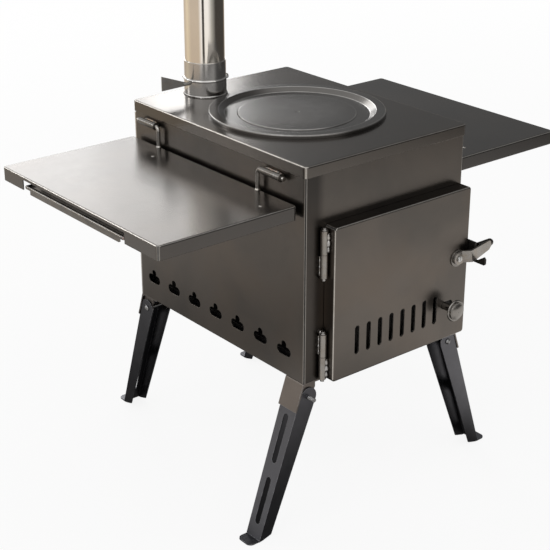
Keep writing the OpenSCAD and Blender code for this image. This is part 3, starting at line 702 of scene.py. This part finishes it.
class STOVE_OT_flue(bpy.types.Operator):
    """Finishes the spigot, damper and pipe, with the root weld and the pipe's seam"""
    bl_idname = "stove.flue"
    bl_label = "Flue"

    def execute(self, context):
        need("flue_spigot", "flue_sleeve", "chimney_pipe", "damper_plate", "damper_spindle")
        s = context.scene.stove_finishes
        w = context.scene.stove_welds
        collar = (0.56, 0.555, 0.545)
        paint(coat("collar_steel", collar, 0.17, smooth=0.5, clouds=0.5), "flue_spigot",
              "flue_sleeve")
        stainless = pipe_finish("pipe_stainless", s.pipe)
        paint(stainless, "chimney_pipe")
        paint(dark_finish("damper_dark", (0.07, 0.065, 0.06)), "damper_plate")
        paint(bare_finish("damper_steel", toned(s.bare, 0.78), 0.34, 0.15, 0.25),
              "damper_spindle")
        root = middle("flue_spigot")
        root.z = COVER_TOP + 0.6 * MM
        root_radius, slim = 32.6 * MM, 0.45
        bm = bmesh.new()
        weld_bead(bm, circle_path(root, root_radius), w.radius * slim, w.pitch, w.ripple,
                  closed=True)
        # painted shade: the root weld is made near black in the crease where the spigot meets the
        # cover
        new_piece("flue_root_weld", bm, "stove",
                  weld_finish("root_weld", (0.055, 0.053, 0.050)))
        self.seam(stainless)
        return {"FINISHED"}

    def seam(self, stainless):
        """The folded seam up the back of the pipe, tapered at both ends."""
        low, high = (Vector(c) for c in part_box("chimney_pipe"))
        centre = middle("chimney_pipe")
        facing, half = math.radians(70), math.radians(5.2)
        rise, sunk, steps = 0.55 * MM, 0.1 * MM, 12
        start, end, taper = low.z + 26.5 * MM, high.z - 32.5 * MM, 1.5 * MM
        rows = []
        bm = bmesh.new()
        for level, lift in ((start, 0.1), (start + taper, 1.0), (end - taper, 1.0), (end, 0.1)):
            row = []
            for k in range(steps + 1):
                t = k / (steps / 2) - 1
                r = PIPE_RADIUS - sunk + (rise + sunk) * lift * (1 - abs(t) ** 6)
                a = facing + half * t
                row.append(bm.verts.new((centre.x + r * math.cos(a),
                                         centre.y + r * math.sin(a), level)))
            rows.append(row)
        for first, second in zip(rows, rows[1:]):
            for k in range(steps):
                bm.faces.new([first[k], first[k + 1], second[k + 1], second[k]])
        new_piece("pipe_seam", bm, "chimney", stainless)


class STOVE_OT_door(bpy.types.Operator):
    """Finishes the door, its air slide and its hinges"""
    bl_idname = "stove.door"
    bl_label = "Door"

    def execute(self, context):
        need("door_pan", "door_liner", "air_slider", "air_knob", "door_knuckles")
        s = context.scene.stove_finishes
        paint(coat("door_coat", toned(s.coat, 1.02), s.shine, behind("door_pan"),
                   ("door_pan", 1)), "door_pan")
        paint(dark_finish("door_inner", (0.035, 0.033, 0.031), 0.6), "door_liner",
              "slider_guides", "air_slider")
        paint(turned_finish("knob_steel", toned(s.bare, 0.62), 0.22,
                            middle("air_knob")), "air_knob")
        paint(bare_finish("hinge_steel", toned(s.bare, 0.74), 0.30, 0.2),
              "body_knuckles", "door_knuckles")
        paint(zinc_finish("door_zinc", (0.36, 0.35, 0.34)), "hinge_pins", "knob_screw")
        return {"FINISHED"}


class STOVE_OT_latch(bpy.types.Operator):
    """Finishes the latch lever, its grip bar and its screw"""
    bl_idname = "stove.latch"
    bl_label = "Latch"

    def execute(self, context):
        need("latch_lever", "latch_bar", "latch_screw", "latch_washer", "latch_nut")
        s = context.scene.stove_finishes
        paint(bare_finish("lever_steel", toned(s.bare, 0.85), 0.26, 0.3, 0.85),
              "latch_lever")
        paint(turned_finish("washer_steel", toned(s.bare, 0.6), 0.26,
                            middle("latch_washer")), "latch_washer")
        paint(bare_finish("grip_steel", toned(s.bare, 0.22), 0.3, 0.3), "latch_bar")
        paint(zinc_finish("latch_zinc"), "latch_screw", "latch_nut")
        return {"FINISHED"}


class STOVE_OT_shelves(bpy.types.Operator):
    """Finishes the fold-up shelves, their rods, sleeves and grips"""
    bl_idname = "stove.shelves"
    bl_label = "Side shelves"

    def execute(self, context):
        s = context.scene.stove_finishes
        for side, body in (("left", "shelf_l"), ("right", "shelf_r")):
            pan, handle, rods = ("shelf_" + part + side for part in ("", "handle_", "rods_"))
            need(pan, handle, rods)
            # painted shade: soot-black under the shelf and a darker front flange
            paint(coat("shelf_coat_" + side, s.shelf, s.shine - 0.06, painted_shade_under_shelf(pan), (pan,),
                       clouds=0.5, dim=painted_shade_shelf_front(pan)), pan)
            paint(bare_finish("rod_steel_" + side, toned(s.bare, 0.9), 0.24, 0.15),
                  rods, "shelf_rivets_" + side)
            paint(bare_finish("grip_rod_" + side, toned(s.bare, 0.5), 0.28, 0.2), handle)
            paint(bare_finish("sleeve_steel_" + side, toned(s.bare, 0.42), 0.28, 0.3),
                  "shelf_sleeves_" + side)
            self.grip_welds("grip_weld_" + side, body, pan, handle)
        return {"FINISHED"}


    def grip_welds(self, name, body, pan, handle):
        """A drop of weld at each end of a shelf's grip."""
        low, high = (Vector(c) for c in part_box(handle))
        inward, along, down = 3 * MM, 2.6 * MM, 14.8 * MM
        x = low.x + inward if low.x < HOME.x else high.x - inward
        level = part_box(pan)[1][2] - down
        bm = bmesh.new()
        for end in (low.y + along, high.y - along):
            weld_blob(bm, (x, end, level), 3.3 * MM, (0.85, 1.0, 0.9))
        new_piece(name, bm, body, weld_finish(name))


class STOVE_OT_legs(bpy.types.Operator):
    """Finishes the folding legs, their brackets, bolts and nuts"""
    bl_idname = "stove.legs"
    bl_label = "Legs"

    def execute(self, context):
        need("leg_fl", "leg_fr", "leg_rl", "leg_rr", "leg_brackets", "leg_bolts", "leg_nuts")
        s = context.scene.stove_finishes
        paint(leg_finish("leg_steel", s.leg), "leg_fl", "leg_fr", "leg_rl", "leg_rr")
        paint(leg_finish("bracket_steel", (0.165, 0.145, 0.130)), "leg_brackets")
        paint(zinc_finish("leg_zinc", (0.30, 0.30, 0.30)), "leg_bolts", "leg_nuts")
        return {"FINISHED"}


class STOVE_OT_welds(bpy.types.Operator):
    """Sets the weld tacks of the hinges, and lays the beads of the shelf sleeves and catch"""
    bl_idname = "stove.welds"
    bl_label = "Weld beads"

    def execute(self, context):
        w = context.scene.stove_welds
        self.hinge_tacks("hinge_weld_body", "stove", "body_knuckles")
        self.hinge_tacks("hinge_weld_door", "door", "door_knuckles")
        for side in ("left", "right"):
            self.lay(w, "sleeve_weld_" + side, "stove", "shelf_sleeves_" + side,
                     self.sleeve_paths)
        self.lay(w, "catch_weld", "stove", "catch_plate", self.catch_paths)
        return {"FINISHED"}

    def lay(self, w, name, body, node, paths):
        """Beads along the paths that a node gives."""
        bm = bmesh.new()
        for path in paths(node):
            weld_bead(bm, path, w.radius, w.pitch, w.ripple)
        new_piece(name, bm, body, weld_finish(name))

    def hinge_tacks(self, name, body, node):
        """Lumpy tacks beside each knuckle, where it meets the sheet."""
        pin = middle("hinge_pins")
        low, high = (Vector(c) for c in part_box(node))
        fixed = node == "body_knuckles"
        size, x, y = (0.5, -3.8, 4.2) if fixed else (1.08, 3.2, -3.7)
        length = 34 * MM
        bm = bmesh.new()
        for start in (low.z, high.z - length):
            for part, radius in ((0.2, 3.3), (0.46, 4.0), (0.74, 3.5)):
                centre = (pin.x + x * MM, pin.y + y * MM, start + part * length)
                weld_blob(bm, centre, radius * size * MM, (0.85, 0.85, 1.35))
        if fixed:
            centre = (pin.x + 0.6 * MM, pin.y + 4.4 * MM, low.z + length + 1.6 * MM)
            weld_blob(bm, centre, 3.4 * MM, (1.1, 0.9, 0.8))
        grey = (0.42, 0.41, 0.40)
        new_piece(name, bm, body, bare_finish(name, grey, 0.3, 0.1))

    def sleeve_paths(self, node):
        """Along each sleeve, above and below its foot."""
        low, high = (Vector(c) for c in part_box(node))
        away = -1 if low.x < HOME.x else 1
        x = HOME.x + away * (HALF_W - BODY_IN + 2 * MM)
        front, rear, inset, foot = 45 * MM, 40.5 * MM, 5 * MM, 3.2 * MM
        return [[(x, start + inset, SLEEVE_LEVEL + up), (x, end - inset, SLEEVE_LEVEL + up)]
                for start, end in ((low.y, low.y + front), (high.y - rear, high.y))
                for up in (-foot, foot)]

    def catch_paths(self, node):
        """Short tacks where the catch plate lies on the firebox side."""
        low, high = (Vector(c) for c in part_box(node))
        x = HOME.x + HALF_W - BODY_IN + 0.6 * MM
        ends = ((low.z, -0.3, 3.0, 1.8), (high.z, 0.2, 4.0, -1.0))
        return [[(x, high.y - 12 * MM, edge + outside * MM),
                 (x, high.y - short * MM, edge + inside * MM)]
                for edge, outside, short, inside in ends]


class STOVE_OT_threads(bpy.types.Operator):
    """Winds the thread on the long bolt tail of the front left leg"""
    bl_idname = "stove.threads"
    bl_label = "Bolt thread"

    def execute(self, context):
        need("leg_bolts")
        bolt_left, tip_in = 138.5 * MM, 0.6 * MM
        radius, pitch, turns, ridge = 2.95 * MM, 1.0 * MM, 11, 0.34 * MM
        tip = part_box("leg_bolts")[0][1]
        start = Vector((HOME.x - bolt_left, tip + tip_in, middle("leg_bolts").z))
        path = helix_path(start, radius, pitch, turns)
        bm = bmesh.new()
        sweep(bm, path, [ridge] * len(path), 6)
        new_piece("bolt_thread", bm, "stove",
                  zinc_finish("thread_zinc", (0.5, 0.5, 0.5)))
        return {"FINISHED"}


class STOVE_OT_studio(bpy.types.Operator):
    """Builds the pale floor, the soft lights, the surroundings and the camera"""
    bl_idname = "stove.studio"
    bl_label = "Studio"

    def execute(self, context):
        scene = context.scene
        s = scene.stove_studio
        self.floor(scene, s)
        self.surroundings(scene)
        self.lights(scene, s)
        self.camera(scene, s)
        scene.view_settings.view_transform = "Standard"
        return {"FINISHED"}

    def floor(self, scene, s):
        """A pale floor, just under the feet, that bright metal sees as a room."""
        drop = 0.4 * MM
        bm = bmesh.new()
        bmesh.ops.create_grid(bm, x_segments=2, y_segments=2, size=30)
        mesh = bpy.data.meshes.new("floor")
        bm.to_mesh(mesh)
        bm.free()
        floor = bpy.data.objects.new("floor", mesh)
        floor.location.z = -drop
        scene.collection.objects.link(floor)
        f = Finish("floor_paint")
        camera, glossy, through = (f.add("ShaderNodeLightPath", output=ray) for ray in
                                   ("Is Camera Ray", "Is Glossy Ray", "Is Transmission Ray"))
        matt = f.add("ShaderNodeBsdfDiffuse", values={"Color": (*s.floor, 1.0)})
        seen = f.mix(glossy, (1, 1, 1), self.room(f))
        glow = f.add("ShaderNodeEmission", values={"Color": seen, "Strength": 1.0})
        x, y, _ = f.axes()
        away = span(x, y).above(1.4, 2.6)
        f.add_output(f.add("ShaderNodeMixShader", values={
            0: (camera + through) * (0.88 + away * 0.12) + glossy * 0.97, 1: matt, 2: glow}))
        mesh.materials.append(f.material)

    def room(self, f):
        """What bright metal sees on the floor: pale near by but darker toward the back left, with
        a painted shadow round the stove's footprint; windows and walls further off.

        Angles go round the pipe, from the camera's side toward its right."""
        x, y, _ = f.axes()
        pipe = middle("chimney_pipe") - HOME
        dx, dy = x - pipe.x, y - pipe.y
        sine, cosine = 0.632, 0.775     # of the camera's azimuth
        toward, right = dx * -sine + dy * -cosine, dx * cosine + dy * -sine
        far = span(x, y).above(1.5, 0.7)
        turn = right.calc("ARCTAN2", right, toward)
        warm, lit, pale = (0.60, 0.50, 0.40), (0.80, 0.68, 0.50), (1.0, 0.97, 0.94)
        grey, gap = (0.42, 0.41, 0.38), (0.04, 0.035, 0.03)
        sectors = [(-180, warm), (-140, warm), (-110, lit), (-80, warm), (-30, warm),
                   (-15, pale), (-11, pale), (-9, gap), (2, gap), (4, pale), (25, pale),
                   (45, grey), (70, gap), (140, gap), (180, warm)]
        walls = f.add("ShaderNodeValToRGB", {"stops": [
            ((angle + 180) / 360, colour) for angle, colour in sectors]},
            {0: turn / math.tau + 0.5})
        across = y - x
        dusk = 1 - across.above(0.42, 0.33) * 0.70 + across.above(0.98, 0.35) * 0.41
        # a painted shadow round the stove's footprint, seen only in reflections
        apart = (abs(x) - 0.16).most((abs(y) - 0.27) * 0.55)
        shade = 1 - (1 - apart.above(0.05, 0.14)) * 0.92
        near = f.mix(dusk * shade, (0, 0, 0), (1.0, 0.97, 0.94))
        return f.mix(far, near, walls)

    def surroundings(self, scene):
        """White behind the stove; in reflections a studio that dims toward the right."""
        world = bpy.data.worlds.new("studio")
        scene.world = world
        world.use_nodes = True
        b = Board(world.node_tree)
        x, y, _ = b.split(b.add("ShaderNodeTexCoord", output="Generated"))
        right = (x * 0.93 - y * 0.10).above(0.20, 0.38)
        dim = 1 - right * 0.78
        glossy = b.add("ShaderNodeLightPath", output="Is Glossy Ray")
        camera = b.add("ShaderNodeLightPath", output="Is Camera Ray")
        level = glossy * dim + camera * 1.0 + (1 - glossy - camera) * 0.62
        grey = b.add("ShaderNodeBackground", values={"Color": (1, 1, 1, 1), "Strength": level})
        out = b.tree.nodes.new("ShaderNodeOutputWorld")
        b.tree.links.new(grey.socket, out.inputs["Surface"])

    def lights(self, scene, s):
        """Each lamp has a power, a width and height in metres, and its place: degrees from
        +Y toward +X, degrees above the floor, and metres from the point it is aimed at."""
        aim = spot(0, 0, 480)
        lamps = (("key_softbox", s.key, 1.9, 1.35, 20.8, 21.0, 4.0),
                 ("key_core", s.key * 0.58, 1.7, 1.35, 15.0, 21.0, 4.0),
                 ("window_strip", 1.75, 0.42, 0.26, 33.5, 15.6, 4.0),
                 ("back_window", 11.0, 0.8, 0.56, -36.5, 20.5, 4.0),
                 ("left_fill", 18.0, 2.2, 1.6, 255.0, 38.0, 3.6),
                 ("front_fill", 10.0, 2.4, 1.6, 195.0, 46.0, 3.8))
        for name, power, width, height, azimuth, elevation, distance in lamps:
            data = bpy.data.lights.new(name, "AREA")
            data.shape = "RECTANGLE"
            data.size, data.size_y = width, height
            data.energy = power
            lamp = bpy.data.objects.new(name, data)
            a, e = math.radians(azimuth), math.radians(elevation)
            away = Vector((math.sin(a) * math.cos(e), math.cos(a) * math.cos(e), math.sin(e)))
            lamp.location = aim + away * distance
            lamp.rotation_euler = away.to_track_quat("Z", "Y").to_euler()
            scene.collection.objects.link(lamp)

    def camera(self, scene, s):
        """A long lens that looks at the front left corner from above."""
        data = bpy.data.cameras.new("camera")
        data.sensor_width = 36.0
        data.lens = s.lens
        data.dof.use_dof = False
        camera = bpy.data.objects.new("camera", data)
        scene.collection.objects.link(camera)
        az, el, roll = s.azimuth, s.elevation, CAMERA_ROLL
        ahead = Vector((-math.sin(az) * math.cos(el), math.cos(az) * math.cos(el), -math.sin(el)))
        level = Vector((math.cos(az), math.sin(az), 0))
        rise = level.cross(ahead)
        side = level * math.cos(roll) + rise * math.sin(roll)
        up = rise * math.cos(roll) - level * math.sin(roll)
        turn = Matrix((side, up, -ahead)).transposed().to_4x4()
        camera.matrix_world = Matrix.Translation(CAMERA_PLACE) @ turn
        scene.camera = camera


class STOVE_PT_panel(bpy.types.Panel):
    """Lists the stove's steps and settings"""
    bl_idname = "STOVE_PT_panel"
    bl_label = "Tent wood stove"
    bl_space_type = "VIEW_3D"
    bl_region_type = "UI"
    bl_category = "Stove"

    def draw(self, context):
        layout = self.layout
        for group in ("stove_finishes", "stove_welds", "stove_studio"):
            box = layout.box()
            settings = getattr(context.scene, group)
            for key in settings.__annotations__:
                box.prop(settings, key)
        for step in STEPS:
            layout.operator(step.bl_idname)


GROUPS = (StoveFinishes, StoveWelds, StoveStudio)
STEPS = (STOVE_OT_firebox, STOVE_OT_lid, STOVE_OT_flue, STOVE_OT_door, STOVE_OT_latch,
         STOVE_OT_shelves, STOVE_OT_legs, STOVE_OT_welds, STOVE_OT_threads, STOVE_OT_studio)


def register():
    for cls in (*GROUPS, *STEPS, STOVE_PT_panel):
        bpy.utils.register_class(cls)
    bpy.types.Scene.stove_finishes = PointerProperty(type=StoveFinishes)
    bpy.types.Scene.stove_welds = PointerProperty(type=StoveWelds)
    bpy.types.Scene.stove_studio = PointerProperty(type=StoveStudio)


def unregister():
    for name in ("stove_finishes", "stove_welds", "stove_studio"):
        delattr(bpy.types.Scene, name)
    for cls in reversed((*GROUPS, *STEPS, STOVE_PT_panel)):
        bpy.utils.unregister_class(cls)


def main():
    register()
    for step in STEPS:
        group, name = step.bl_idname.split(".")
        getattr(getattr(bpy.ops, group), name)()


if __name__ == "__main__":
    main()
